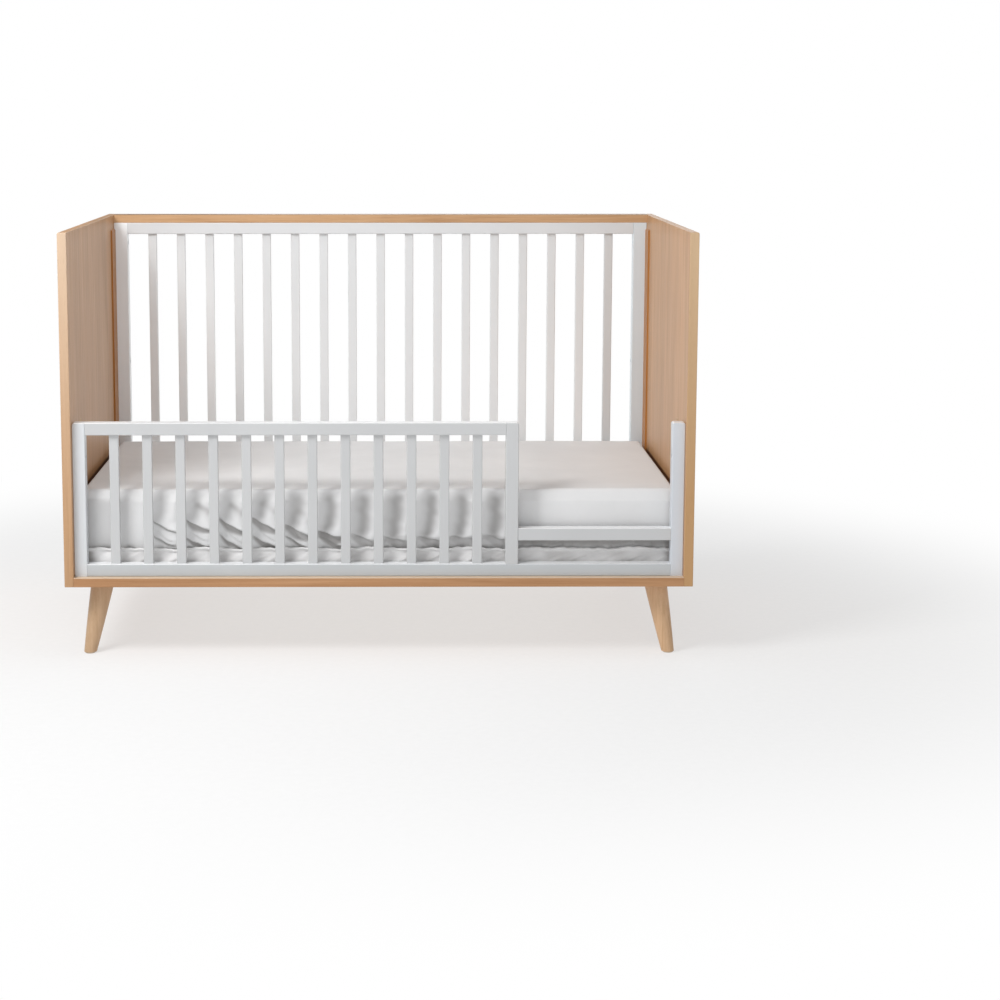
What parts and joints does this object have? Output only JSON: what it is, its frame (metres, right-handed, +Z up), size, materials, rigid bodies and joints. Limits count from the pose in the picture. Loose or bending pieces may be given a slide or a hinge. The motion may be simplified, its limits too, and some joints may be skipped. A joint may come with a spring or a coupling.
{
  "type": "baby crib",
  "caption": "Wooden crib set up as a toddler bed, with solid ends, a slatted back, a low slatted guard with an entry gap, and a mattress on a slatted support.",
  "frame": {"origin": "on the floor, under the middle of the crib's length and depth", "axes": "+X along the length towards the entry gap's end, +Y from the front guard to the slatted back, +Z up"},
  "size_m": [1.37, 0.804, 0.93],
  "materials": {
    "walnut": "satin",
    "white_paint": "satin",
    "plain_wood": "matte",
    "zinc_steel": "satin",
    "brass": "satin",
    "glide_plastic": "matte",
    "mattress_cover": "matte",
    "sheet_cotton": "matte"
  },
  "bodies": {
    "crib_frame": {"end_panel_left": "walnut", "end_panel_right": "walnut", "back_top_rail": "walnut", "base_board_front": "walnut", "base_board_back": "walnut", "base_board_left": "walnut", "base_board_right": "walnut", "corner_batten_left": "walnut", "corner_batten_right": "walnut", "leg_front_left": "walnut", "leg_front_right": "walnut", "leg_back_left": "walnut", "leg_back_right": "walnut", "back_stile_left": "white_paint", "back_stile_right": "white_paint", "back_rail_upper": "white_paint", "back_rail_lower": "white_paint", "back_slat_01": "white_paint", "back_slat_02": "white_paint", "back_slat_03": "white_paint", "back_slat_04": "white_paint", "back_slat_05": "white_paint", "back_slat_06": "white_paint", "back_slat_07": "white_paint", "back_slat_08": "white_paint", "back_slat_09": "white_paint", "back_slat_10": "white_paint", "back_slat_11": "white_paint", "back_slat_12": "white_paint", "back_slat_13": "white_paint", "back_slat_14": "white_paint", "back_slat_15": "white_paint", "back_slat_16": "white_paint", "back_slat_17": "white_paint", "guard_post_left": "white_paint", "guard_post_middle": "white_paint", "guard_post_right": "white_paint", "guard_rail_top": "white_paint", "guard_rail_bottom": "white_paint", "guard_rail_entry": "white_paint", "guard_slats": "white_paint", "wood_dowels": "plain_wood", "frame_bolts": "zinc_steel", "panel_inserts": "brass", "base_cam_locks": "zinc_steel", "base_cam_pins": "zinc_steel", "leg_hanger_bolts": "zinc_steel", "leg_inserts": "brass", "support_hook_bolts": "zinc_steel", "foot_glides": "glide_plastic"},
    "mattress_support": {"support_rail_front": "plain_wood", "support_rail_back": "plain_wood", "support_rail_left": "plain_wood", "support_rail_right": "plain_wood", "support_slats": "plain_wood", "support_brackets": "zinc_steel", "support_bracket_screws": "zinc_steel"},
    "mattress": {"mattress": "mattress_cover", "fitted_sheet": "sheet_cotton"}
  },
  "joints": [
    {"name": "support_height", "type": "slide", "parent": "crib_frame", "child": "mattress_support", "axis": [0, 0, 1], "range_m": [0, 0.3]},
    {"name": "mattress_lift", "type": "slide", "parent": "mattress_support", "child": "mattress", "axis": [0, 0, 1], "range_m": [0, 0.75]}
  ]
}
